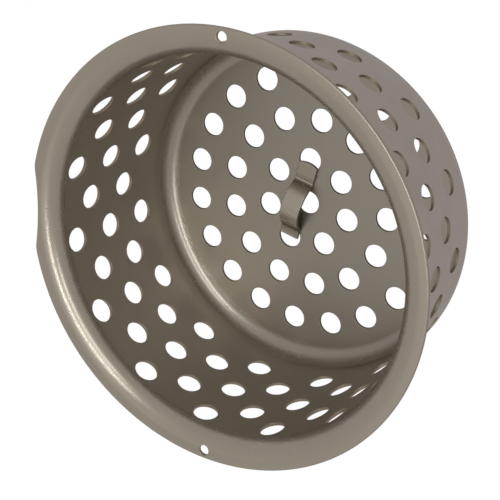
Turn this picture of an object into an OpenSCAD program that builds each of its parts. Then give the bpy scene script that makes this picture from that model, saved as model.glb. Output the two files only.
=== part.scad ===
// Basket strainer: a deep-drawn, perforated sheet basket with a flared rim,
// and a bent lifting strap welded across the middle of its floor.
//
// The basket's underside lies on z = 0 and its axis is the Z axis. One column
// of the wall's first row of holes lies on +X, and the strap runs along Y.

/* [Sheet] */
// Thickness of the basket's sheet
sheet_t = 1.25; // [0.8:0.05:1.6]

/* [Basket] */
// Outside diameter of the rim
rim_d = 165; // [162:0.5:180]
// Overall height, from the underside to the top of the rim
basket_h = 72.3; // [71:0.1:85]
// Diameter of the underside, where the wall's line meets it
base_d = 138.7; // [136:0.1:140]
// Draw taper of the wall, in degrees from upright
wall_taper = 3; // [2:0.1:4]
// Outside radius where the floor turns up into the wall
corner_r = 8.1; // [4:0.1:10]
// Radius of the upper surface where the wall flares out into the rim
flare_r = 8.1; // [4:0.1:8.3]

/* [Perforation] */
// Diameter of every hole in the floor and the wall
hole_d = 9.5; // [6:0.1:9.8]
// Radius of the floor's first ring of holes
ring_first_r = 17.8; // [17:0.1:19]
// Step from one ring of holes to the next
ring_step = 16.9; // [15:0.1:17]
// Height of the middle of the wall's lowest row of holes
row_first_z = 19.8; // [17:0.1:20]
// Step from one row of holes to the next
row_step = 10; // [9.5:0.1:10]
// Holes in each row of the wall
row_holes = 15; // [8:1:20]

/* [Rim details] */
// Depth of the finger notch in the rim's edge
notch_depth = 3; // [1:0.1:4]
// Radius of the notch's shallow curve
notch_r = 105; // [95:1:120]
// Radius that rounds the notch's two corners
notch_corner_r = 10; // [4:0.5:14]
// Direction of the notch, in degrees from +X
notch_angle = 12; // [0:1:60]
// Diameter of the two small holes in the rim
rim_hole_d = 4; // [2:0.1:4.5]
// Radius of the circle that the two small holes stand on
rim_hole_r = 79.1; // [78.8:0.1:79.5]

/* [Lifting strap] */
// Width of the strap
strap_w = 8.2; // [6:0.1:9]
// Thickness of the strap
strap_t = 1.2; // [0.8:0.1:1.5]
// Sideways distance of the strap from the basket's axis
strap_x = 3.8; // [3:0.1:5]
// Length of the arch, from one foot to the other
arch_span = 22.2; // [20:0.1:24]
// Radius of the arch's upper surface
arch_r = 12.2; // [12.2:0.1:15]
// Distance of the arch's middle from the basket's axis, along the strap
arch_y = 2.6; // [2:0.1:3]
// Inside radius of the bends between the arch and its feet
strap_bend_r = 1.2; // [0.8:0.1:2]
// Length of the long foot
long_foot = 7.9; // [7:0.1:9]
// Length of the short foot
short_foot = 3; // [2.6:0.1:4]
// Radius that the long foot's free end is rounded to
toe_r = 9.3; // [6:0.1:20]

/* [Tack welds] */
// Length of each weld bead
tack_len = 1.8; // [1.8:0.1:3]
// Height and width of each weld bead
tack_r = 0.5; // [0.4:0.1:0.8]

/* [Hidden] */
$fn = 96;

STEEL = [0.60, 0.57, 0.52];
STRAP_STEEL = [0.50, 0.48, 0.43];
WELD_STEEL = [0.42, 0.41, 0.40];

// Floor holes: how many stand in each ring, and the direction of one of them
RING_COUNTS = [7, 13, 19];
RING_ANGLES = [181, 0, 4.3];
WALL_ROWS = 5;
// How far a cutter runs past the face that it cuts
PAST = 1;
// Straight steps in each arc of a section
ARC_STEPS = 16;

rim_r = rim_d / 2;
base_r = base_d / 2;
row_pitch = 360 / row_holes;

// Middle of the curve between the floor and the wall, in the basket's section
corner_c = [base_r + corner_r * tan(wall_taper) - corner_r / cos(wall_taper), corner_r];

// Middle of the curve between the wall and the rim
flare_z = basket_h - flare_r;
flare_c = [base_r + flare_z * tan(wall_taper) + (flare_r - sheet_t) / cos(wall_taper), flare_z];

// Angle that the strap rises through at each end of its arch, and the middle
// of the arch's curve in the strap's side view
arch_angle = asin(arch_span / 2 / (arch_r + strap_bend_r));
arch_c = [0, strap_t + strap_bend_r - (arch_r + strap_bend_r) * cos(arch_angle)];

// A point at a distance and a direction
function polar(r, a) = [r * cos(a), r * sin(a)];

// Points along an arc about a middle, from angle a0 to a1
function arc(mid, r, a0, a1) =
    [for (i = [0 : ARC_STEPS]) mid + polar(r, a0 + (a1 - a0) * i / ARC_STEPS)];

// Half of the basket's section: floor, corner, tapered wall, flare and rim.
// The outside comes first, and then the inside on the way back.
module shell_section() {
    corner_end = -wall_taper;
    flare_start = 180 - wall_taper;
    polygon(concat(
        [[0, 0]],
        arc(corner_c, corner_r, -90, corner_end),
        arc(flare_c, flare_r - sheet_t, flare_start, 90),
        [[rim_r, basket_h - sheet_t], [rim_r, basket_h]],
        arc(flare_c, flare_r, 90, flare_start),
        arc(corner_c, corner_r - sheet_t, corner_end, -90),
        [[0, sheet_t]]
    ));
}

module floor_holes() {
    depth = sheet_t + 2 * PAST;
    translate([0, 0, -PAST]) cylinder(d = hole_d, h = depth);
    for (ring = [0 : len(RING_COUNTS) - 1], i = [0 : RING_COUNTS[ring] - 1])
        rotate(RING_ANGLES[ring] + i * 360 / RING_COUNTS[ring])
            translate([ring_first_r + ring * ring_step, 0, -PAST])
                cylinder(d = hole_d, h = depth);
}

// Each row is turned by half a pitch from the one below it, and every hole is
// square to the tapered wall.
module wall_holes() {
    depth = sheet_t + 6 * PAST;
    for (row = [0 : WALL_ROWS - 1], i = [0 : row_holes - 1]) {
        z = row_first_z + row * row_step;
        wall_mid = base_r + z * tan(wall_taper) - sheet_t / 2 / cos(wall_taper);
        rotate((i + (row % 2) / 2) * row_pitch)
            translate([wall_mid, 0, z])
                rotate([0, 90 + wall_taper, 0])
                    cylinder(d = hole_d, h = depth, center = true);
    }
}

// Outline of what the finger notch takes from the rim: a shallow curve, and
// the corners on each side of it, which are rounded off
module notch_outline() {
    notch_c = rim_r - notch_depth + notch_r;
    corner_far = rim_r - notch_corner_r;
    corner_near = notch_r + notch_corner_r;
    turn = acos((corner_far ^ 2 + notch_c ^ 2 - corner_near ^ 2) / (2 * corner_far * notch_c));
    corner_mid = polar(corner_far, turn);
    rim_touch = polar(rim_r, turn);
    to_notch = ([notch_c, 0] - corner_mid) / corner_near;
    translate([notch_c, 0]) circle(r = notch_r);
    for (side = [0, 1])
        mirror([0, side])
            difference() {
                polygon([
                    corner_mid + notch_corner_r * to_notch,
                    corner_mid + (notch_corner_r + PAST) * to_notch,
                    [rim_r + PAST, 0],
                    1.1 * rim_touch,
                    rim_touch
                ]);
                translate(corner_mid) circle(r = notch_corner_r);
            }
}

module rim_cuts() {
    translate([0, 0, basket_h - flare_r / 2])
        rotate(notch_angle) {
            linear_extrude(flare_r) notch_outline();
            for (side = [-1, 1])
                translate([0, side * rim_hole_r, 0]) cylinder(d = rim_hole_d, h = flare_r);
        }
}

// The whole basket is one pressing, so it is one solid.
module basket_shell() {
    color(STEEL)
        difference() {
            rotate_extrude($fn = 240) shell_section();
            floor_holes();
            wall_holes();
            rim_cuts();
        }
}

// The strap's side view, with its feet on y = 0 and its arch over the origin.
// The underside comes first, and then the top on the way back.
module strap_section() {
    half_span = arch_span / 2;
    left_bend = [-half_span, strap_t + strap_bend_r];
    right_bend = [half_span, strap_t + strap_bend_r];
    polygon(concat(
        [[-half_span - long_foot, 0]],
        arc(left_bend, strap_bend_r + strap_t, -90, arch_angle - 90),
        arc(arch_c, arch_r - strap_t, 90 + arch_angle, 90 - arch_angle),
        arc(right_bend, strap_bend_r + strap_t, -90 - arch_angle, -90),
        [[half_span + short_foot, 0], [half_span + short_foot, strap_t]],
        arc(right_bend, strap_bend_r, -90, -90 - arch_angle),
        arc(arch_c, arch_r, 90 - arch_angle, 90 + arch_angle),
        arc(left_bend, strap_bend_r, arch_angle - 90, -90),
        [[-half_span - long_foot, strap_t]]
    ));
}

module lifting_strap() {
    toe_y = -arch_span / 2 - long_foot;
    color(STRAP_STEEL)
        translate([strap_x, arch_y, sheet_t])
            intersection() {
                rotate([90, 0, 90])
                    linear_extrude(strap_w, center = true) strap_section();
                union() {
                    translate([0, toe_y + toe_r, -PAST])
                        cylinder(r = toe_r, h = strap_t + 2 * PAST);
                    translate([-strap_w, toe_y + long_foot / 2, -PAST])
                        cube([2 * strap_w, arch_span + long_foot, 2 * arch_r]);
                }
            }
}

// One bead in the angle between the strap's edge and the floor: a quarter of
// a round-ended rod that lies along Y
module tack() {
    straight = tack_len - 2 * tack_r;
    intersection() {
        union() {
            rotate([90, 0, 0]) cylinder(r = tack_r, h = straight, center = true);
            for (side = [-1, 1])
                translate([0, side * straight / 2, 0]) sphere(r = tack_r);
        }
        translate([0, -tack_len, 0]) cube(2 * tack_len);
    }
}

// Two beads hold each foot, one on each edge of the strap.
module tack_welds() {
    long_foot_y = arch_y - arch_span / 2 - long_foot * 0.4;
    short_foot_y = arch_y + arch_span / 2 - 0.2;
    color(WELD_STEEL)
        for (y = [long_foot_y, short_foot_y], side = [0, 1])
            translate([strap_x, y, sheet_t])
                mirror([side, 0, 0])
                    translate([strap_w / 2, 0, 0]) tack();
}

basket_shell();
lifting_strap();
tack_welds();
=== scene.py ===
"""Basket strainer: a perforated steel basket with a flared rim and a lifting strap.

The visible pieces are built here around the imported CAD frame: the basket's shell with its rounded
sheared edges, the bent strap and the four weld beads. Lengths are in millimetres until a mesh or a
material is made. Names with angle, azimuth, elevation, pitch, roll or lean are in degrees, and
turns round the basket are in radians.
"""

import bmesh
import bpy
import numpy as np
from mathutils import Matrix, Vector


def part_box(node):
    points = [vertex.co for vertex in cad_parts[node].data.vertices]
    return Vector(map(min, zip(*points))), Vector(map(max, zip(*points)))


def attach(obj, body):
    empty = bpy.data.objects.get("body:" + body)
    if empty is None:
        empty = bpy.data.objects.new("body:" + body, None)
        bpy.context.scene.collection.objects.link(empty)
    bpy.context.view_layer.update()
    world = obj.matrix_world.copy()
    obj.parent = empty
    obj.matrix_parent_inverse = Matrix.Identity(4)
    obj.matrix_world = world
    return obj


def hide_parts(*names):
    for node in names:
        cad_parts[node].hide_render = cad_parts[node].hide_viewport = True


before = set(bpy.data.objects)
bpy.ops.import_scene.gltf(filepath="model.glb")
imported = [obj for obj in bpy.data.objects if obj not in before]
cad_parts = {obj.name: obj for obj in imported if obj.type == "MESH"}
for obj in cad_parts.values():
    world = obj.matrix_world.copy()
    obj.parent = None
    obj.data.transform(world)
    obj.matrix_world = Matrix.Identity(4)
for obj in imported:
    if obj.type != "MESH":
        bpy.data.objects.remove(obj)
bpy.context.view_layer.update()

MM = 0.001


def frame_box(node):
    """A CAD node's lowest and highest corners, in millimetres."""
    low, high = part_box(node)
    return np.array(low) / MM, np.array(high) / MM


SHELL_LOW, SHELL_HIGH = frame_box("basket_shell")
STRAP_LOW, STRAP_HIGH = frame_box("lifting_strap")
TACK_LOW, TACK_HIGH = frame_box("tack_welds")

# Sheet. Offsets from its middle are positive towards the inside and the top
SHEET_T = 1.25
HALF_T = SHEET_T / 2
INSIDE = 1
OUTSIDE = -1
SIDES = (INSIDE, OUTSIDE)

# Basket, as in the CAD part
RIM_R = (SHELL_HIGH[1] - SHELL_LOW[1]) / 2
BASKET_H = SHELL_HIGH[2]
BASE_R = 69.35
TAPER = np.radians(3)
CORNER_R = 8.1
FLARE_R = 8.1

# Perforation
HOLE_R = 4.75
RING_FIRST_R = 17.8
RING_STEP = 16.9
RING_COUNTS = (7, 13, 19)
RING_ANGLES = (181, 0, 4.3)
ROW_FIRST_Z = 19.8
ROW_STEP = 10
ROWS = 5
ROW_HOLES = 15
ROW_PITCH = 360 / ROW_HOLES

# Rim details
NOTCH_DEPTH = 3
NOTCH_R = 105
NOTCH_CORNER_R = 10
NOTCH_ANGLE = 12
RIM_HOLE_R = 2
RIM_HOLES_AT = 79.1

# How the punch rounds a hole's edge where it enters and where it leaves, and how far the sheared
# look reaches over that round
ENTRY_ROUND = 0.28
EXIT_ROUND = 0.09
SHEARED_REACH = 1.4
# How the rim's edge is rounded above and below, and how sheared it looks
RIM_TOP_ROUND = 0.62
RIM_UNDER_ROUND = 0.2
RIM_SHEARED = 0.6

# Mesh fineness: columns of faces all round the wall and the rim, and rows up each zone
COLUMNS = 300
CORNER_ROWS = 12
LOW_WALL_ROWS = 3
FLARE_ROWS = 8
RIM_ROWS = 5
RIM_CELL_COLUMNS = 10
WALL_CELL_COLUMNS = COLUMNS // ROW_HOLES
WALL_CELL_ROWS = 4
FLOOR_CELL_SIDE = 12
# Layers of faces round a hole, and how they widen away from it
FLOOR_LAYERS = 2
LAYERS = 3
LAYER_GROWTH = 1.2
# How far the points round a hole move towards even steps
EVENNESS = 0.5
WALL_EVENNESS = 0.65
# Half the width of the strips that join the floor's rings
JOIN_HALF = 0.2
# How far the lines between the wall's rows bulge over the holes
ROW_WAVE = 2.2
# Radius where the flare's plain rows end and the rim's cells start
RIM_BAND_R = 75.9
# A small step, to find a direction by
PROBE = 0.01

# ---------------------------------------------------------------- the sheet's middle surface

# Both bends have the same radius, so their middle lines do too
MID_R = CORNER_R - HALF_T
CORNER_C = np.array([BASE_R + CORNER_R * np.tan(TAPER) - CORNER_R / np.cos(TAPER), CORNER_R])
FLARE_Z = BASKET_H - FLARE_R
FLARE_C = np.array(
    [BASE_R + FLARE_Z * np.tan(TAPER) + (FLARE_R - SHEET_T) / np.cos(TAPER), FLARE_Z]
)
BEND_TURN = np.pi / 2 - TAPER
WALL_LOW = CORNER_C + MID_R * np.array([np.cos(TAPER), -np.sin(TAPER)])
WALL_HIGH = FLARE_C - MID_R * np.array([np.cos(TAPER), -np.sin(TAPER)])

# Where each stretch starts, as a distance s along the section from the basket's axis
S_CORNER = CORNER_C[0]
S_WALL = S_CORNER + MID_R * BEND_TURN
S_FLARE = S_WALL + np.hypot(*(WALL_HIGH - WALL_LOW))
S_RIM = S_FLARE + MID_R * BEND_TURN
S_RIM_BAND = S_RIM - MID_R * np.arcsin((FLARE_C[0] - RIM_BAND_R) / MID_R)


def bend(middle, turn, way):
    """Radius, height and normal along a bend. The normal points to its middle if way is -1."""
    out_r, out_z = np.cos(turn), np.sin(turn)
    return middle[0] + MID_R * out_r, middle[1] + MID_R * out_z, way * out_r, way * out_z


def section(s):
    """Radius, height and inward normal of the sheet's middle line, at distances s along it."""
    corner = -np.pi / 2 + (np.clip(s, S_CORNER, S_WALL) - S_CORNER) / MID_R
    flare = np.pi - TAPER - (np.clip(s, S_FLARE, S_RIM) - S_FLARE) / MID_R
    up = (s - S_WALL) / (S_FLARE - S_WALL)
    wall_r, wall_z = WALL_LOW[:, None] + (WALL_HIGH - WALL_LOW)[:, None] * up
    none = np.zeros_like(s)
    stretches = [
        (s <= S_CORNER, (s, none + HALF_T, none, none + 1)),
        (s <= S_WALL, bend(CORNER_C, corner, -1)),
        (s <= S_FLARE, (wall_r, wall_z, none - np.cos(TAPER), none + np.sin(TAPER))),
        (s <= S_RIM, bend(FLARE_C, flare, 1)),
    ]
    rim = (FLARE_C[0] + s - S_RIM, none + FLARE_C[1] + MID_R, none, none + 1)
    tests = [test for test, _ in stretches]
    values = zip(*(value for _, value in stretches), strict=True)
    return [np.select(tests, v, default=last) for v, last in zip(values, rim, strict=True)]


def on_sheet(s, turn, w):
    """Points of the sheet at s, a turn and an offset w towards the inside, and their normals."""
    s, turn, w = np.broadcast_arrays(*(np.asarray(v, float) for v in (s, turn, w)))
    shape = (*s.shape, 3)
    r, z, nr, nz = section(s.ravel())
    turn, w = turn.ravel(), w.ravel()
    r, z = r + w * nr, z + w * nz
    points = np.stack([r * np.cos(turn), r * np.sin(turn), z], -1)
    normals = np.stack([nr * np.cos(turn), nr * np.sin(turn), nz], -1)
    return points.reshape(shape), normals.reshape(shape)


# ---------------------------------------------------------------- mesh building


class Skin:
    """Points, their normals and their sheared mark, and the faces between them."""

    def __init__(self):
        self.points, self.normals, self.marks, self.faces = [], [], [], []
        self.count = 0

    def add(self, points, normals, mark):
        """Adds points, and returns the number of the first."""
        start = self.count
        points = points.reshape(-1, 3)
        self.points.append(points)
        self.normals.append(normals.reshape(-1, 3))
        self.marks.append(np.broadcast_to(mark, len(points)).astype(float))
        self.count += len(points)
        return start

    def grid(self, points, normals, mark=0.0, closed=True):
        """Quads over rows of points. With closed, each row is a loop."""
        rows, cols = points.shape[:2]
        start = self.add(points, normals, np.broadcast_to(mark, (rows, cols)).ravel())
        ids = start + np.arange(rows * cols).reshape(rows, cols)
        if closed:
            ids = np.hstack([ids, ids[:, :1]])
        quads = np.stack([ids[:-1, :-1], ids[:-1, 1:], ids[1:, 1:], ids[1:, :-1]], -1)
        self.faces.append(quads.reshape(-1, 4))

    def zipper(self, inner, outer):
        """Triangles between two loops, each (points, normals, turns), with different counts."""
        a = self.add(inner[0], inner[1], 0.0)
        b = self.add(outer[0], outer[1], 0.0)
        n, m = len(inner[2]), len(outer[2])
        i = j = 0
        made = []
        while i < n or j < m:
            next_in = inner[2][0] + (i + 1) * 2 * np.pi / n
            next_out = outer[2][0] + (j + 1) * 2 * np.pi / m
            if j >= m or (i < n and next_in <= next_out):
                made.append([a + i % n, b + j % m, a + (i + 1) % n, -1])
                i += 1
            else:
                made.append([a + i % n, b + j % m, b + (j + 1) % m, -1])
                j += 1
        self.faces.append(np.array(made))

    def mesh(self, name, weld=1e-6):
        """A Blender mesh: patch edges within weld metres joined, faces outwards, exact normals."""
        points = np.vstack(self.points) * MM
        normals = np.vstack(self.normals)
        faces = np.vstack(self.faces)
        corners = points[faces[:, :3]]
        across = np.cross(corners[:, 1] - corners[:, 0], corners[:, 2] - corners[:, 0])
        facing = np.einsum("ij,ij->i", across, normals[faces[:, :3]].sum(1)) >= 0
        loops = []
        for face, keep in zip(faces.tolist(), facing.tolist(), strict=True):
            face = face[:3] if face[3] < 0 else face
            loops.append(face if keep else face[::-1])
        mesh = bpy.data.meshes.new(name)
        mesh.from_pydata(points.tolist(), [], loops)
        put(mesh, "lay", "FLOAT_VECTOR", normals)
        put(mesh, "sheared", "FLOAT", np.concatenate(self.marks))
        work = bmesh.new()
        work.from_mesh(mesh)
        bmesh.ops.remove_doubles(work, verts=work.verts, dist=weld)
        work.to_mesh(mesh)
        work.free()
        mesh.polygons.foreach_set("use_smooth", [True] * len(mesh.polygons))
        lay = np.zeros(len(mesh.vertices) * 3, np.float32)
        mesh.attributes["lay"].data.foreach_get("vector", lay)
        mesh.normals_split_custom_set_from_vertices(lay.reshape(-1, 3).tolist())
        mesh.attributes.remove(mesh.attributes["lay"])
        mesh.update()
        return mesh


def put(mesh, name, kind, values):
    """Stores one value for each vertex."""
    data = mesh.attributes.new(name, kind, "POINT").data
    field = "vector" if kind == "FLOAT_VECTOR" else "value"
    data.foreach_set(field, np.asarray(values, np.float32).ravel())


def unit(v):
    """Vectors at length 1."""
    return v / np.linalg.norm(v, axis=-1, keepdims=True)


# ---------------------------------------------------------------- holes in the sheet

# A hole's place is a function: from a distance rho and a direction phi about the hole's middle,
# at an offset w through the sheet, it gives the s and the turn of that point.


def floor_hole(ring_r, angle):
    """The place of a floor hole on a ring."""
    turn = np.radians(angle)

    def place(rho, phi, w):
        x, y = ring_r + rho * np.cos(phi), rho * np.sin(phi)
        return np.hypot(x, y), turn + np.arctan2(y, x) + 0 * w

    return place


def wall_hole(row, angle):
    """The place of a hole in the wall, square to the wall."""
    turn = np.radians(angle)

    def place(rho, phi, w):
        s = row_s(row) + rho * np.sin(phi) + 0 * w
        r, _, nr, _ = (part.reshape(s.shape) for part in section(s.ravel()))
        return s, turn - np.arcsin(rho * np.cos(phi) / (r + w * nr))

    return place


def rim_hole(angle):
    """The place of an upright hole in the rim, part of which lies in the flare."""
    turn = np.radians(angle)

    def place(rho, phi, w):
        x, y = RIM_HOLES_AT + rho * np.cos(phi), rho * np.sin(phi)
        r = np.hypot(x, y) + 0 * w
        back = np.arcsin(np.clip((FLARE_C[0] - r) / (MID_R + w), 0, 1))
        s = S_RIM + np.where(r < FLARE_C[0], -MID_R * back, r - FLARE_C[0])
        return s, turn + np.arctan2(y, x) + 0 * w

    return place


def hole_edge(skin, place, hole_r, phi):
    """The rounded edges and the wall of one hole. Returns its outermost radius on each side."""
    path = []
    for side, rounding, steps in ((INSIDE, ENTRY_ROUND, 2), (OUTSIDE, EXIT_ROUND, 1)):
        arc = np.linspace(0, np.pi / 2, steps + 1)
        rho = hole_r + rounding * (1 - np.sin(arc))
        w = side * (HALF_T - rounding * (1 - np.cos(arc)))
        stretch = list(zip(rho, w, side * np.cos(arc), np.sin(arc), strict=True))
        path += stretch if side == INSIDE else stretch[::-1]
    rho, w, out, across = (np.array(c)[:, None] for c in zip(*path, strict=True))
    points, lay = on_sheet(*place(rho, phi[None, :], w), w)
    further, _ = on_sheet(*place(rho + PROBE, phi[None, :], w), w)
    radial = unit(further - points)
    normals = unit(lay * out[..., None] - radial * across[..., None])
    mark = np.clip(across * SHEARED_REACH, 0, 1)
    skin.grid(points, normals, np.broadcast_to(mark, points.shape[:2]))
    return {INSIDE: hole_r + ENTRY_ROUND, OUTSIDE: hole_r + EXIT_ROUND}


def cell(skin, place, hole_r, loops, phi, layers):
    """One hole and the sheet around it, out to each side's loop of s and turn values."""
    share = np.linspace(0, 1, layers + 1)[:, None] ** LAYER_GROWTH
    for side, rho in hole_edge(skin, place, hole_r, phi).items():
        w = side * HALF_T
        s_in, turn_in = place(rho, phi, np.full_like(phi, w))
        s_out, turn_out = loops[side]
        s = s_in + (s_out - s_in) * share
        turn = turn_in + (turn_out - turn_in) * share
        points, lay = on_sheet(s, turn, w)
        skin.grid(points, lay * side)


def outline(low, high, left, right):
    """A cell's edge as one loop: its high side, then the left, low and right sides."""
    return np.concatenate([high[:-1], left[:-1], low[:-1], right[:-1]])


def spread(phi, evenness):
    """Directions round a loop, moved towards even steps."""
    phi = np.unwrap(phi)
    way = np.sign(phi[-1] - phi[0])
    even = way * np.arange(len(phi)) * 2 * np.pi / len(phi)
    even += np.mean(phi - even)
    return phi + (even - phi) * evenness


# ---------------------------------------------------------------- the basket's shell


def band(skin, s, turns):
    """The sheet between rows of s values, all round, on both sides."""
    for side in SIDES:
        points, lay = on_sheet(s, turns[None, :], side * HALF_T)
        skin.grid(points, lay * side)


def shares(rows):
    """Even steps from 0 to 1, as a column."""
    return np.linspace(0, 1, rows + 1)[:, None]


def ring_turns(count, first_angle=0.0):
    """Even turns all round, from the direction of the first."""
    return np.radians(first_angle) + np.arange(count) * 2 * np.pi / count


def zip_rings(skin, join_r, in_turns, out_turns):
    """Joins two loops of the floor whose points don't line up, on both sides of the sheet."""
    off = np.angle(np.exp(1j * (out_turns - in_turns[0])))
    nearest = int(np.argmin(np.abs(off)))
    order = np.roll(np.arange(len(out_turns)), -nearest)
    turns = in_turns[0] + off[nearest] + np.arange(len(out_turns)) * 2 * np.pi / len(out_turns)
    for side in SIDES:
        w = side * HALF_T
        inner, inner_lay = on_sheet(join_r - JOIN_HALF, in_turns, w)
        outer, outer_lay = on_sheet(join_r + JOIN_HALF, out_turns, w)
        skin.zipper(
            (inner, inner_lay * side, in_turns),
            (outer[order], outer_lay[order] * side, turns),
        )


def floor_cell(skin, ring_r, angle, half_turn, low, high):
    """One hole of a floor ring, in a cell between two radii and half a turn's step each way."""
    n = FLOOR_CELL_SIDE + 1
    across = np.linspace(-half_turn, half_turn, n)
    up = np.linspace(low, high, n)
    # The loop starts at the outer corner with the greater turn, and runs towards lesser ones
    s = outline(np.full(n, low), np.full(n, high), up[::-1], up)
    off = outline(across, across[::-1], np.full(n, -half_turn), np.full(n, half_turn))
    phi = spread(np.arctan2(s * np.sin(off), s * np.cos(off) - ring_r), EVENNESS)
    edge = (s, np.radians(angle) + off)
    cell(skin, floor_hole(ring_r, angle), HOLE_R, dict.fromkeys(SIDES, edge), phi, FLOOR_LAYERS)


def floor_zone(skin):
    """The flat floor: the middle hole, three rings of hole cells, and the joins between them."""
    joins = [RING_FIRST_R + (k - 0.5) * RING_STEP for k in range(len(RING_COUNTS) + 1)]
    # The middle hole has as many points as the loop round a cell
    turns = ring_turns(4 * FLOOR_CELL_SIDE, RING_ANGLES[0])
    for side, rho in hole_edge(skin, floor_hole(0.0, 0.0), HOLE_R, turns).items():
        s = rho + (joins[0] - JOIN_HALF - rho) * shares(FLOOR_LAYERS)
        points, lay = on_sheet(s, turns[None, :], side * HALF_T)
        skin.grid(points, lay * side)
    for ring, (count, first) in enumerate(zip(RING_COUNTS, RING_ANGLES, strict=True)):
        ring_r = RING_FIRST_R + ring * RING_STEP
        low, high = joins[ring] + JOIN_HALF, joins[ring + 1] - JOIN_HALF
        for i in range(count):
            floor_cell(skin, ring_r, first + i * 360 / count, np.pi / count, low, high)
        # The ring's points start at the first cell's edge, half a step before its hole
        next_turns = ring_turns(FLOOR_CELL_SIDE * count, first - 180 / count)
        zip_rings(skin, joins[ring], turns, next_turns)
        turns = next_turns
    wall_turns = ring_turns(COLUMNS)
    zip_rings(skin, joins[-1], turns, wall_turns)
    band(skin, np.array([[joins[-1] + JOIN_HALF], [S_CORNER]]), wall_turns)


def row_s(row):
    """Where the middle of a row of wall holes lies along the section."""
    return S_WALL + (ROW_FIRST_Z + row * ROW_STEP - WALL_LOW[1]) / np.cos(TAPER)


def row_angle(row, i=0):
    """The direction of a row's hole: each row is turned by half a pitch from the one below."""
    return (i + (row % 2) / 2) * ROW_PITCH


def between_rows(row, turns):
    """The wavy line above a row of wall holes, which bulges over each of its holes."""
    phase = ROW_HOLES * (turns - np.radians(row_angle(row)))
    return row_s(row) + ROW_STEP / 2 + ROW_WAVE * np.cos(phase)


def wall_cell(skin, row, angle):
    """One hole of a wall row, in a cell between the wavy lines below and above the row."""
    half = np.radians(ROW_PITCH / 2)
    turn = np.radians(angle)
    across = turn + np.linspace(-half, half, WALL_CELL_COLUMNS + 1)
    low, high = between_rows(row - 1, across), between_rows(row, across)
    up = np.linspace(low[0], high[0], WALL_CELL_ROWS + 1)
    last, first = np.full_like(up, across[-1]), np.full_like(up, across[0])
    # The loop starts at the high corner with the lesser turn, and runs towards greater ones
    s = outline(low[::-1], high, up[::-1], up)
    turns = outline(across[::-1], across, last, first)
    middle_r = section(np.array([row_s(row)]))[0][0]
    phi = spread(np.arctan2(s - row_s(row), -(turns - turn) * middle_r), WALL_EVENNESS)
    cell(skin, wall_hole(row, angle), HOLE_R, dict.fromkeys(SIDES, (s, turns)), phi, LAYERS)


def wall_zone(skin):
    """The wall's rows of hole cells."""
    for row in range(ROWS):
        for i in range(ROW_HOLES):
            wall_cell(skin, row, row_angle(row, i))


def notch_edge(turns):
    """The rim's edge radius at each turn, with the notch and its two rounded corners."""
    middle = RIM_R - NOTCH_DEPTH + NOTCH_R
    far = RIM_R - NOTCH_CORNER_R
    near = NOTCH_R + NOTCH_CORNER_R
    corner_at = np.arccos((far**2 + middle**2 - near**2) / (2 * far * middle))
    corner = far * np.array([np.cos(corner_at), np.sin(corner_at)])
    touch = corner + NOTCH_CORNER_R * unit(np.array([middle, 0]) - corner)
    touch_at = np.arctan2(touch[1], touch[0])
    off = np.abs(np.angle(np.exp(1j * (turns - np.radians(NOTCH_ANGLE)))))
    hollow_square = NOTCH_R**2 - (middle * np.sin(off)) ** 2
    hollow = middle * np.cos(off) - np.sqrt(np.maximum(hollow_square, 0))
    rounded_square = NOTCH_CORNER_R**2 - (far * np.sin(corner_at - off)) ** 2
    rounded = far * np.cos(corner_at - off) + np.sqrt(np.maximum(rounded_square, 0))
    return np.select([off < touch_at, off < corner_at], [hollow, rounded], RIM_R)


def rim_turn(turns):
    """How far the rim's edge normal turns from the radial direction, in radians."""
    step = 1e-4
    slope = (notch_edge(turns + step) - notch_edge(turns - step)) / (2 * step)
    return -np.arctan(slope / notch_edge(turns))


def rim_s(turns, inset):
    """The s of a line round the rim, a small inset in from its edge."""
    return S_RIM + notch_edge(turns) - FLARE_C[0] - inset / np.cos(rim_turn(turns))


def flat_s(turns, side):
    """Where the flat of the rim ends on one side, short of its rounded edge."""
    return rim_s(turns, RIM_TOP_ROUND if side == INSIDE else RIM_UNDER_ROUND)


def rim_loop(turns, side):
    """The edge of a rim hole's cell on one side of the sheet, as s and turn values."""
    high, low = flat_s(turns, side), np.full(turns.size, S_RIM_BAND)
    left = np.linspace(high[-1], low[-1], RIM_ROWS + 1)
    right = np.linspace(low[0], high[0], RIM_ROWS + 1)
    last, first = np.full_like(left, turns[-1]), np.full_like(right, turns[0])
    return outline(low[::-1], high, left, right), outline(turns[::-1], turns, last, first)


def rim_cell(skin, angle, turns):
    """One of the rim's small holes, in a cell between the flare and the rim's edge."""
    loops = {side: rim_loop(turns, side) for side in SIDES}
    s, loop_turns = loops[INSIDE]
    r = s - S_RIM + FLARE_C[0]
    off = loop_turns - np.radians(angle)
    phi = spread(np.arctan2(r * np.sin(off), r * np.cos(off) - RIM_HOLES_AT), EVENNESS)
    cell(skin, rim_hole(angle), RIM_HOLE_R, loops, phi, LAYERS)


def rim_zone(skin):
    """The flare's top and the flat of the rim, with its two small holes."""
    step = 2 * np.pi / COLUMNS
    hole_angles = [NOTCH_ANGLE + 90, NOTCH_ANGLE - 90]
    firsts = [round(np.radians(a) / step) - RIM_CELL_COLUMNS // 2 for a in hole_angles]
    taken = {(first + k) % COLUMNS for first in firsts for k in range(RIM_CELL_COLUMNS)}
    for side in SIDES:
        for column in range(COLUMNS):
            if column in taken:
                continue
            turns = np.array([column, column + 1]) * step
            s = S_RIM_BAND + (flat_s(turns, side) - S_RIM_BAND) * shares(RIM_ROWS)
            points, lay = on_sheet(s, turns[None, :], side * HALF_T)
            skin.grid(points, lay * side, closed=False)
    for angle, first in zip(hole_angles, firsts, strict=True):
        rim_cell(skin, angle, (first + np.arange(RIM_CELL_COLUMNS + 1)) * step)


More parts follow.
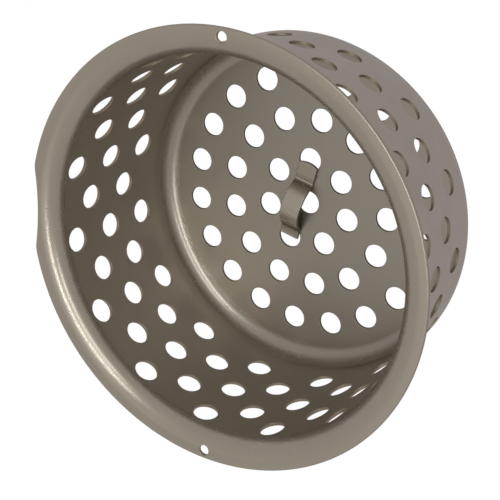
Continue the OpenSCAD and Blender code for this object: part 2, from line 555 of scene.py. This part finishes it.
def rim_edge(skin):
    """The rim's rounded outer edge."""
    turns = ring_turns(COLUMNS)
    facing = turns + rim_turn(turns)
    out = np.stack([np.cos(facing), np.sin(facing), 0 * turns], -1)
    rows, normals, marks = [], [], []
    for side, rounding, steps in ((INSIDE, RIM_TOP_ROUND, 5), (OUTSIDE, RIM_UNDER_ROUND, 2)):
        arc = np.linspace(0, np.pi / 2, steps + 1)
        for a in arc if side == INSIDE else arc[::-1]:
            s = rim_s(turns, rounding * (1 - np.sin(a)))
            w = side * (HALF_T - rounding * (1 - np.cos(a)))
            points, lay = on_sheet(s, turns, w)
            rows.append(points)
            normals.append(unit(lay * side * np.cos(a) + out * np.sin(a)))
            marks.append(np.full(COLUMNS, RIM_SHEARED * np.sin(a) ** 4))
    skin.grid(np.array(rows), np.array(normals), np.array(marks))


def build_shell():
    """The basket's pressing, from the middle of its floor to the rim's edge."""
    skin = Skin()
    floor_zone(skin)
    turns = ring_turns(COLUMNS)
    band(skin, S_CORNER + (S_WALL - S_CORNER) * shares(CORNER_ROWS), turns)
    low, high = between_rows(-1, turns), between_rows(ROWS - 1, turns)
    band(skin, S_WALL + (low - S_WALL) * shares(LOW_WALL_ROWS), turns)
    wall_zone(skin)
    band(skin, high + (S_RIM_BAND - high) * shares(FLARE_ROWS), turns)
    rim_zone(skin)
    rim_edge(skin)
    return skin.mesh("basket_body")


# ---------------------------------------------------------------- the strap and its welds

# Strap, as in the CAD part
STRAP_X = (STRAP_LOW[0] + STRAP_HIGH[0]) / 2
STRAP_HALF_W = (STRAP_HIGH[0] - STRAP_LOW[0]) / 2
STRAP_T = 1.2
ARCH_SPAN = 22.2
ARCH_R = 12.2
ARCH_Y = 2.6
STRAP_BEND_R = 1.2
LONG_FOOT = 7.9
SHORT_FOOT = 3
TOE_R = 9.3

# Rounding of its top and under edges, of its two ends, and the least that is left at an end
STRAP_TOP_ROUND = 0.24
STRAP_UNDER_ROUND = 0.12
STRAP_END_ROUND = 0.16
STRAP_LEAST_ROUND = 0.03

# Mesh fineness: steps along the bends, the arch and the feet, and points round the section
BEND_STEPS = 8
ARCH_STEPS = 32
LONG_FOOT_ROWS = 5
SHORT_FOOT_ROWS = 2
END_STEPS = 3
FLAT_POINTS = 9
TOP_STEPS = 3
UNDER_STEPS = 2


def strap_line():
    """The strap's middle line in its side view: y, height, and slope in radians."""
    half = ARCH_SPAN / 2
    rise = np.arcsin(half / (ARCH_R + STRAP_BEND_R))
    bend_r = STRAP_BEND_R + STRAP_T / 2
    arch_r = ARCH_R - STRAP_T / 2
    bend_z = STRAP_T + STRAP_BEND_R
    arch_z = bend_z - (ARCH_R + STRAP_BEND_R) * np.cos(rise)
    turn = np.linspace(0, rise, BEND_STEPS + 1)
    sweep = np.linspace(rise, -rise, ARCH_STEPS + 1)[1:-1]
    y_parts = [-half + bend_r * np.sin(turn), -arch_r * np.sin(sweep)]
    y_parts.append(half - bend_r * np.sin(turn[::-1]))
    z_parts = [bend_z - bend_r * np.cos(turn), arch_z + arch_r * np.cos(sweep)]
    z_parts.append(bend_z - bend_r * np.cos(turn[::-1]))
    slope = np.concatenate([turn, sweep, -turn[::-1]])
    return np.concatenate(y_parts), np.concatenate(z_parts), slope


def strap_loop(inset):
    """The strap's rounded section, drawn in by inset: offsets across and through, and normals.

    It runs along the top, round the +X edge, back along the underside and round the -X edge,
    which mirrors the other.
    """
    half_w, half_t = STRAP_HALF_W - inset, STRAP_T / 2 - inset
    top = max(STRAP_TOP_ROUND - inset / 2, STRAP_LEAST_ROUND)
    under = max(STRAP_UNDER_ROUND - inset / 2, STRAP_LEAST_ROUND)
    flat = np.linspace(-1, 1, FLAT_POINTS)
    up = np.linspace(np.pi / 2, 0, TOP_STEPS + 1)[1:]
    down = np.linspace(0, -np.pi / 2, UNDER_STEPS + 1)[:-1]
    x = [flat * (half_w - top), half_w - top + top * np.cos(up)]
    w = [flat * 0 + half_t, half_t - top + top * np.sin(up)]
    nx, nw = [flat * 0, np.cos(up)], [flat * 0 + 1, np.sin(up)]
    x += [half_w - under + under * np.cos(down), -flat * (half_w - under)]
    w += [-half_t + under + under * np.sin(down), flat * 0 - half_t]
    nx += [np.cos(down), flat * 0]
    nw += [np.sin(down), flat * 0 - 1]
    for part, way in ((x, -1), (w, 1), (nx, -1), (nw, 1)):
        part.extend([way * part[2][::-1], way * part[1][::-1]])
    return [np.concatenate(part) for part in (x, w, nx, nw)]


def strap_row(inset, y, z, slope=0.0, end=0.0):
    """One loop round the strap: points, normals and sheared marks.

    The middle of the section is at y and z, and y may differ across the strap. End is how much
    the normals face along the strap, as a sine.
    """
    x, w, nx, nw = strap_loop(inset)
    line_y, line_z = -np.sin(slope), np.cos(slope)
    side = np.sqrt(1 - end**2)
    points = np.stack([x, y + w * line_y, z + w * line_z], -1)
    normals = np.stack([nx * side, nw * side * line_y + end, nw * side * line_z], -1)
    return points, unit(normals), np.clip(np.abs(nx) + abs(end), 0, 1)


def toe_line(inset):
    """Where the long foot's rounded end lies, for each point of the strap's section."""
    x = strap_loop(inset)[0]
    return -ARCH_SPAN / 2 - LONG_FOOT + TOE_R - np.sqrt(TOE_R**2 - x**2)


def strap_rows():
    """The strap's loops from the long foot's rounded end to the short foot's square end."""
    line_y, line_z, slope = strap_line()
    level = STRAP_T / 2
    heel = ARCH_SPAN / 2 + SHORT_FOOT
    for a in np.linspace(np.pi / 2, 0, END_STEPS + 1):
        inset = STRAP_END_ROUND * (1 - np.cos(a))
        y = toe_line(inset) + STRAP_END_ROUND * (1 - np.sin(a))
        yield strap_row(inset, y, level, end=-np.sin(a))
    start = toe_line(0.0) + STRAP_END_ROUND
    for share in np.linspace(0, 1, LONG_FOOT_ROWS + 1)[1:-1]:
        yield strap_row(0.0, start + (line_y[0] - start) * share, level)
    for y, z, rise in zip(line_y, line_z, slope, strict=True):
        yield strap_row(0.0, y, z, rise)
    last = heel - STRAP_END_ROUND
    for share in np.linspace(0, 1, SHORT_FOOT_ROWS + 1)[1:]:
        yield strap_row(0.0, line_y[-1] + (last - line_y[-1]) * share, level)
    for a in np.linspace(0, np.pi / 2, END_STEPS + 1)[1:]:
        inset = STRAP_END_ROUND * (1 - np.cos(a))
        y = heel - STRAP_END_ROUND * (1 - np.sin(a))
        yield strap_row(inset, y, level, end=np.sin(a))


def end_cap(count):
    """Faces over a strap loop of count points: quads between its flats, and fans at its edges."""
    under_first = count // 2
    under_last = under_first + FLAT_POINTS - 1
    quads = [[k, k + 1, under_last - k - 1, under_last - k] for k in range(FLAT_POINTS - 1)]
    fans = []
    for hub in (FLAT_POINTS - 1, under_last):
        for k in range(hub + 1, hub + 1 + under_first - FLAT_POINTS):
            fans.append([hub, k, (k + 1) % count, -1])
    return quads + fans


def build_strap():
    """The bent strap, with a cap on each end."""
    rows, normals, marks = (list(part) for part in zip(*strap_rows(), strict=True))
    place = np.array([STRAP_X, ARCH_Y, SHEET_T])
    skin = Skin()
    skin.grid(np.array(rows) + place, np.array(normals), np.array(marks))
    count = len(rows[0])
    for row, facing in ((rows[0], -1.0), (rows[-1], 1.0)):
        start = skin.add(row + place, np.full((count, 3), [0.0, facing, 0.0]), 1.0)
        faces = np.array(end_cap(count))
        skin.faces.append(np.where(faces < 0, -1, faces + start))
    return skin.mesh("lifting_strap_bent")


# Weld beads: as in the CAD part, with ripples that stay inside it
TACK_R = TACK_HIGH[2] - TACK_LOW[2]
TACK_LEN = 1.8
TACK_YS = (TACK_LOW[1] + TACK_LEN / 2, TACK_HIGH[1] - TACK_LEN / 2)
TACK_RIPPLES = 3
RIPPLE_DEPTH = 0.09
TACK_BLUNT = 2.6
TACK_STEPS = 40
TACK_TURN_STEPS = 8


def build_tacks():
    """Quarter-round weld beads with a few ripples, in the corners between strap and floor."""
    skin = Skin()
    along = np.linspace(-1, 1, TACK_STEPS + 1)
    around = np.linspace(0, np.pi / 2, TACK_TURN_STEPS + 1)
    plump = (1 - np.abs(along) ** TACK_BLUNT) ** 0.5
    ripple = 1 - RIPPLE_DEPTH * (0.5 - 0.5 * np.cos(2 * np.pi * TACK_RIPPLES * along))
    size = TACK_R * plump * ripple
    slope = -np.gradient(size, along * TACK_LEN / 2)
    for middle_y in TACK_YS:
        y = middle_y + along * TACK_LEN / 2
        for side in (-1, 1):
            edge = STRAP_X + side * STRAP_HALF_W
            x = edge + side * size[:, None] * np.cos(around)
            z = SHEET_T + size[:, None] * np.sin(around)
            points = np.stack([x, y[:, None] + 0 * x, z], -1)
            lay = [side * np.cos(around) + 0 * x, slope[:, None] + 0 * x, np.sin(around) + 0 * x]
            skin.grid(points, unit(np.stack(lay, -1)), closed=False)
            corner = np.stack([0 * y + edge, y, 0 * y + SHEET_T], -1)
            on_floor = (points[:, 0], np.array([0.0, 0.0, -1.0]))
            on_strap = (points[:, -1], np.array([-side, 0.0, 0.0]))
            for column, facing in (on_floor, on_strap):
                strip = np.stack([corner, column], 1)
                skin.grid(strip, np.broadcast_to(facing, strip.shape), closed=False)
    return skin.mesh("weld_beads")


# ---------------------------------------------------------------- materials


class Nodes:
    """A material's node tree, with one short call for each node."""

    def __init__(self, name):
        self.material = bpy.data.materials.new(name)
        self.material.use_nodes = True
        self.tree = self.material.node_tree
        self.tree.nodes.clear()

    def add(self, kind, out=0, links=None, **settings):
        """Adds a node. A value in links is a socket to link from, or the input's own value."""
        node = self.tree.nodes.new("ShaderNode" + kind)
        for key, value in settings.items():
            setattr(node, key, value)
        for socket, value in (links or {}).items():
            if isinstance(value, bpy.types.NodeSocket):
                self.tree.links.new(value, node.inputs[socket])
            else:
                node.inputs[socket].default_value = value
        return node.outputs[out]

    def math(self, operation, a, b=0.0):
        """A Math node on two numbers, or on one."""
        return self.add("Math", links={0: a, 1: b}, operation=operation)

    def weighted(self, *parts):
        """The sum of values times their weights, each part a (value, weight) pair."""
        terms = [self.math("MULTIPLY", value, weight) for value, weight in parts]
        total = terms[0]
        for term in terms[1:]:
            total = self.math("ADD", total, term)
        return total

    def noise(self, vector, scale, detail, roughness):
        """Smooth noise from about 0 to 1."""
        links = {"Vector": vector, "Scale": scale, "Detail": detail, "Roughness": roughness}
        return self.add("TexNoise", links=links)

    def span(self, value, low, high, to_low=0.0, to_high=1.0):
        """A value mapped from low..high to to_low..to_high, and held at the ends."""
        return self.add("MapRange", links={0: value, 1: low, 2: high, 3: to_low, 4: to_high})

    def blend(self, share, a, b, kind="MIX"):
        """Two colours mixed."""
        links = {0: share, 6: a, 7: b}
        return self.add("Mix", out=2, links=links, data_type="RGBA", blend_type=kind)

    def stretch(self, vector, scale):
        """A vector times a scale for each of its parts."""
        return self.add("VectorMath", links={0: vector, 1: scale}, operation="MULTIPLY")

    def part(self, vector, axis):
        """One part of a vector: 0, 1 or 2 for x, y or z."""
        return self.add("SeparateXYZ", out=axis, links={0: vector})

    def show(self, shader):
        """Ends the tree with a shader, and returns the material."""
        output = self.tree.nodes.new("ShaderNodeOutputMaterial")
        self.tree.links.new(shader, output.inputs[0])
        return self.material


def rgba(r, g, b):
    """A linear colour."""
    return (r, g, b, 1.0)


# Where the dies burnish the sheet: from the first value, where they start, to the second, where
# it is full, in radius and height
CORNER_BY_R = (58.5, 62.5)
CORNER_BY_Z = (9.5, 6.5)
FLARE_BY_Z = (62.5, 65.5)
FLARE_BY_R = (81.5, 79.5)


def drawn_bends(n, place):
    """How far a place lies in the bends that the drawing dies burnish, from 0 to 1."""
    x, y, z = (n.part(place, axis) for axis in range(3))
    square = n.math("ADD", n.math("MULTIPLY", x, x), n.math("MULTIPLY", y, y))
    radius = n.math("SQRT", square)

    def within(value, limits):
        """From 0 at the first limit to 1 at the second, both in millimetres."""
        return n.span(value, limits[0] * MM, limits[1] * MM)

    corner = n.math("MULTIPLY", within(radius, CORNER_BY_R), within(z, CORNER_BY_Z))
    flare = n.math("MULTIPLY", within(z, FLARE_BY_Z), within(radius, FLARE_BY_R))
    return n.math("ADD", corner, flare)


# Darkening each side of a place along the strap, heat tint from the welds with painted shade in the
# bends' creases, and a painted highlight across the long foot's bend
BEND_DARK_AT = 10.6
BEND_DARK_HALF = 3.2
HIGHLIGHT_HALF = 0.32
HIGHLIGHT_SHARE = 0.9
HEAT_TINT_AND_SHADE = rgba(0.27, 0.24, 0.19)
PAINTED_HIGHLIGHT = rgba(0.93, 0.9, 0.83)


def tint_shade_and_highlight_bends(n, place, colour):
    """Adds heat tint with painted shade on the strap's bends, and a painted highlight across its
    long foot's bend.
    """
    along = n.math("SUBTRACT", n.part(place, 1), ARCH_Y * MM)
    off = n.math("SUBTRACT", n.math("ABSOLUTE", along), BEND_DARK_AT * MM)
    tint_and_shade = n.span(n.math("ABSOLUTE", off), BEND_DARK_HALF * MM, 0.0)
    colour = n.blend(tint_and_shade, colour, HEAT_TINT_AND_SHADE)
    # Painted highlight: a bright line across the long foot's bend
    off = n.math("ABSOLUTE", n.math("ADD", along, ARCH_SPAN / 2 * MM))
    highlight = n.span(off, HIGHLIGHT_HALF * MM, 0.0)
    return n.blend(n.math("MULTIPLY", highlight, HIGHLIGHT_SHARE), colour, PAINTED_HIGHLIGHT)


# Scales of the steels' noises, in waves for each metre
BLOTCH_SCALE = 38
CLOUD_SCALE = 140
SPECK_SCALE = 2600
DRAW_LINE_SCALE = 1900
CLOUD_STRETCH = (1.0, 1.0, 1.4)
# Most of a noise's values lie between these, and most of the blotches' tone between those
NOISE_SPAN = (0.3, 0.7)
TONE_SPAN = (0.36, 0.64)
# How far the specks and the grain change the colour, and the blotches and clouds the roughness
FINE_CHANGE = 0.04
BLOTCH_ROUGH = (-0.02, 0.03)
CLOUD_ROUGH = 0.015
# How much rougher a sheared edge is
SHEARED_ROUGH = 0.12
# Relief of the surface, and how much of it is left where the dies burnish the sheet
BUMP_STRENGTH = 0.07
BUMP_DEPTH = 0.02
BURNISHED_RELIEF = 0.3


def steel(name, base, blotched, sheared, low, shaded_below_z, rough, burnished, grain_scale, bent=False):
    """Satin sheet steel: grain, draw lines, blotches and burnished bends.

    Painted shade turns the tone darker, to low, towards the bottom over the given heights, and
    sheared edges have their own. With bent, the strap's bends get heat tint with painted shade, and
    a painted highlight.
    """
    n = Nodes(name)
    place = n.add("TexCoord", out=3)
    height = n.part(place, 2)
    bends = drawn_bends(n, place)
    edge = n.add("Attribute", out=2, attribute_name="sheared")
    blotch = n.noise(place, BLOTCH_SCALE, detail=3, roughness=0.55)
    cloud = n.noise(n.stretch(place, CLOUD_STRETCH), CLOUD_SCALE, detail=4, roughness=0.6)
    speck = n.noise(place, SPECK_SCALE, detail=2, roughness=0.6)
    grain = n.noise(n.stretch(place, grain_scale), 1.0, detail=3, roughness=0.65)
    draw_at = n.add("CombineXYZ", links={2: n.math("MULTIPLY", height, DRAW_LINE_SCALE)})
    draw_lines = n.noise(draw_at, 1.0, detail=3, roughness=0.6)

    tone = n.weighted((blotch, 0.6), (cloud, 0.4))
    colour = n.blend(n.span(tone, *TONE_SPAN), base, blotched)
    # Painted shade: darker towards the bottom, over the given heights
    colour = n.blend(n.span(height, shaded_below_z[0] * MM, shaded_below_z[1] * MM), colour, low)
    fine = n.weighted((speck, 0.5), (grain, 0.5))
    fine = n.span(fine, *NOISE_SPAN, 1 - FINE_CHANGE, 1 + FINE_CHANGE)
    fine_colour = n.add("CombineColor", links={0: fine, 1: fine, 2: fine})
    colour = n.blend(1.0, colour, fine_colour, "MULTIPLY")
    # Heat tint with painted shade on the strap's bends, and a painted highlight
    if bent:
        colour = tint_shade_and_highlight_bends(n, place, colour)
    colour = n.blend(edge, colour, sheared)

    blotch_rough = (rough + change for change in BLOTCH_ROUGH)
    roughness = n.span(blotch, *NOISE_SPAN, *blotch_rough)
    roughness = n.math("ADD", roughness, n.span(cloud, *NOISE_SPAN, -CLOUD_ROUGH, CLOUD_ROUGH))
    roughness = n.math("ADD", roughness, n.math("MULTIPLY", bends, burnished - rough))
    roughness = n.math("ADD", roughness, n.math("MULTIPLY", edge, SHEARED_ROUGH))

    relief = n.weighted((speck, 0.5), (grain, 0.35), (draw_lines, 0.4))
    relief = n.math("MULTIPLY", relief, n.span(bends, 0.0, 1.0, 1.0, BURNISHED_RELIEF))
    bump = {"Strength": BUMP_STRENGTH, "Distance": BUMP_DEPTH * MM, "Height": relief}
    surface = {"Base Color": colour, "Metallic": 1.0, "Roughness": roughness}
    surface["Normal"] = n.add("Bump", links=bump)
    return n.show(n.add("BsdfPrincipled", links=surface))


def glow(name, colour, one_sided=False):
    """A surface that only shines. With one_sided, nothing shows from behind it."""
    n = Nodes(name)
    shader = n.add("Emission", links={0: colour, 1: 1.0})
    if one_sided:
        behind = n.add("NewGeometry", out=6)
        clear = n.add("BsdfTransparent")
        shader = n.add("MixShader", links={0: behind, 1: shader, 2: clear})
    return n.show(shader)


def piece(name, mesh, node, material):
    """Puts a mesh in the scene in place of a CAD node."""
    obj = bpy.data.objects.new(name, mesh)
    bpy.context.scene.collection.objects.link(obj)
    mesh.materials.append(material)
    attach(obj, "root")
    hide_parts(node)
    return obj


SHELL_STEEL = steel(
    "shell_steel_satin",
    base=rgba(0.56, 0.52, 0.46),
    blotched=rgba(0.53, 0.49, 0.43),
    sheared=rgba(0.42, 0.37, 0.29),
    # Painted shade: the floor darker than the walls, down in the basket
    low=rgba(0.445, 0.418, 0.374),
    shaded_below_z=(4.5, 2.5),
    rough=0.38,
    burnished=0.27,
    grain_scale=(6000.0, 260.0, 1500.0),
)
STRAP_STEEL = steel(
    "strap_steel_satin",
    base=rgba(0.60, 0.56, 0.50),
    blotched=rgba(0.55, 0.51, 0.45),
    # The strap's sides and ends are darker: their duller sheared finish, with painted shade on them
    sheared=rgba(0.26, 0.23, 0.18),
    # Painted shade: the feet darker than the arch's top
    low=rgba(0.48, 0.44, 0.38),
    shaded_below_z=(7.2, 3.0),
    rough=0.25,
    burnished=0.25,
    grain_scale=(7000.0, 350.0, 900.0),
    bent=True,
)
WELD_METAL = steel(
    "weld_metal_dull",
    base=rgba(0.36, 0.34, 0.32),
    blotched=rgba(0.24, 0.21, 0.19),
    sheared=rgba(0.20, 0.18, 0.16),
    # Painted shade: the beads darker towards their roots, in the corner with the floor
    low=rgba(0.26, 0.22, 0.19),
    shaded_below_z=(1.8, 1.3),
    rough=0.5,
    burnished=0.5,
    grain_scale=(3000.0, 3000.0, 3000.0),
)

piece("basket_body", build_shell(), "basket_shell", SHELL_STEEL)
piece("strap_handle", build_strap(), "lifting_strap", STRAP_STEEL)
piece("weld_beads", build_tacks(), "tack_welds", WELD_METAL)

# ---------------------------------------------------------------- stage, camera and light

# From here on, lengths with no * MM are in metres
CENTRE = (SHELL_LOW + SHELL_HIGH) / 2 * MM
FLOOR_HALF = 3.0
FLOOR_DROP = 0.0002
DOME_R = 6.0
SHADE_DROP = 0.0001
PALE = rgba(1.0, 1.0, 1.0)
SHADED = rgba(0.13, 0.125, 0.12)


def stage_mesh(name, build, material):
    """A backdrop that the camera sees, and that neither lights nor shades the basket."""
    mesh = bpy.data.meshes.new(name)
    work = bmesh.new()
    build(work)
    work.to_mesh(mesh)
    work.free()
    mesh.materials.append(material)
    obj = bpy.data.objects.new(name, mesh)
    bpy.context.scene.collection.objects.link(obj)
    obj.visible_diffuse = False
    obj.visible_glossy = False
    obj.visible_transmission = False
    obj.visible_volume_scatter = False
    obj.visible_shadow = False
    return obj


def floor_sheet(work):
    """One flat square."""
    bmesh.ops.create_grid(work, x_segments=1, y_segments=1, size=FLOOR_HALF)


def dome(work):
    """A ball round the whole scene."""
    bmesh.ops.create_icosphere(work, subdivisions=4, radius=DOME_R)


def shade_disc(work):
    """A disc as wide as the basket's underside."""
    bmesh.ops.create_circle(work, cap_ends=True, segments=96, radius=BASE_R * MM)


floor = stage_mesh("studio_floor", floor_sheet, glow("pale_floor", PALE, one_sided=True))
floor.location.z = -FLOOR_DROP
stage_mesh("studio_dome", dome, glow("pale_dome", PALE))

# The table under the basket is in its shadow, which the walls mirror through the floor's holes
shade = stage_mesh("shade_under_basket", shade_disc, glow("shaded_table", SHADED))
shade.location.z = -SHADE_DROP
shade.visible_camera = False
shade.visible_glossy = True


def towards(azimuth, elevation):
    """Unit direction from the basket, azimuth turning from +X to +Y."""
    a, e = np.radians(azimuth), np.radians(elevation)
    return np.array([np.cos(a) * np.cos(e), np.sin(a) * np.cos(e), np.sin(e)])


# Where the camera stands, how it is turned about its own axis, and the point that it looks at
# as an offset from the basket's centre
CAMERA_AZIMUTH = -127.61
CAMERA_ELEVATION = 52.99
CAMERA_ROLL = -121.0
CAMERA_DISTANCE = 0.4593
CAMERA_AIM = np.array([0.83, 8.13, 5.09]) * MM
CAMERA_LENS = 87.84
SENSOR = 36
CAMERA_NEAR = 0.01
CAMERA_FAR = 20


def photo_camera():
    """The camera at the photograph's viewing angle."""
    data = bpy.data.cameras.new("camera")
    data.lens = CAMERA_LENS
    data.sensor_width = SENSOR
    data.clip_start = CAMERA_NEAR
    data.clip_end = CAMERA_FAR
    obj = bpy.data.objects.new("camera", data)
    bpy.context.scene.collection.objects.link(obj)
    bpy.context.scene.camera = obj
    target = CENTRE + CAMERA_AIM
    place = target + towards(CAMERA_AZIMUTH, CAMERA_ELEVATION) * CAMERA_DISTANCE
    turn = Vector(target - place).to_track_quat("-Z", "Y").to_matrix().to_4x4()
    roll = Matrix.Rotation(np.radians(CAMERA_ROLL), 4, "Z")
    obj.matrix_world = Matrix.Translation(place) @ turn @ roll
    return obj


camera = photo_camera()
CAMERA_RIGHT, CAMERA_UP, CAMERA_BACK = (
    np.array(camera.matrix_world.col[k].to_3d()) for k in range(3)
)
LAMP_DISTANCE = 1.0
WARM = (1.0, 0.99, 0.95)


def lamp(name, across, up, length, width, power, lean=0):
    """An area lamp that faces the basket's centre.

    Its direction is the camera's, moved across to its right and up. Its length stands along the
    camera's up, turned by lean towards the camera's left.
    """
    data = bpy.data.lights.new(name, "AREA")
    data.shape = "RECTANGLE"
    data.size = width
    data.size_y = length
    data.energy = power
    data.color = WARM
    obj = bpy.data.objects.new(name, data)
    bpy.context.scene.collection.objects.link(obj)
    away = unit(CAMERA_BACK + across * CAMERA_RIGHT + up * CAMERA_UP)
    upright = unit(CAMERA_UP - CAMERA_UP.dot(away) * away)
    level = np.cross(upright, away)
    cos, sin = np.cos(np.radians(lean)), np.sin(np.radians(lean))
    along, side = upright * cos - level * sin, level * cos + upright * sin
    turn = Matrix(np.array([side, along, away]).T.tolist()).to_4x4()
    obj.matrix_world = Matrix.Translation(CENTRE + away * LAMP_DISTANCE) @ turn
    obj.visible_camera = False


# Two long lamps make the streaks on the burnished bends, and a faint one lifts the far side
lamp("strip_near_camera", -0.05, -0.08, length=0.85, width=0.06, power=0.9, lean=20)
lamp("strip_left_of_camera", -0.45, -0.3, length=0.8, width=0.065, power=1.15)
lamp("softbox_overhead", -0.94, -0.79, length=0.5, width=0.5, power=0.1)


def studio_air(below, level, above):
    """Soft light from all round: a smooth change from below, through level, to above."""
    world = bpy.data.worlds.new("studio_air")
    bpy.context.scene.world = world
    world.use_nodes = True
    tree = world.node_tree
    tree.nodes.clear()
    coords = tree.nodes.new("ShaderNodeTexCoord")
    parts = tree.nodes.new("ShaderNodeSeparateXYZ")
    tree.links.new(coords.outputs["Generated"], parts.inputs[0])
    share = tree.nodes.new("ShaderNodeMapRange")
    share.inputs["From Min"].default_value = -1
    tree.links.new(parts.outputs[2], share.inputs[0])
    ramp = tree.nodes.new("ShaderNodeValToRGB")
    ramp.color_ramp.elements[0].color = below
    ramp.color_ramp.elements[1].color = above
    ramp.color_ramp.elements.new(0.5).color = level
    tree.links.new(share.outputs[0], ramp.inputs[0])
    light = tree.nodes.new("ShaderNodeBackground")
    tree.links.new(ramp.outputs[0], light.inputs[0])
    output = tree.nodes.new("ShaderNodeOutputWorld")
    tree.links.new(light.outputs[0], output.inputs[0])


studio_air(rgba(0.46, 0.43, 0.44), rgba(0.44, 0.42, 0.40), rgba(0.475, 0.444, 0.409))
bpy.context.scene.view_settings.view_transform = "Standard"
bpy.context.scene.view_settings.look = "None"
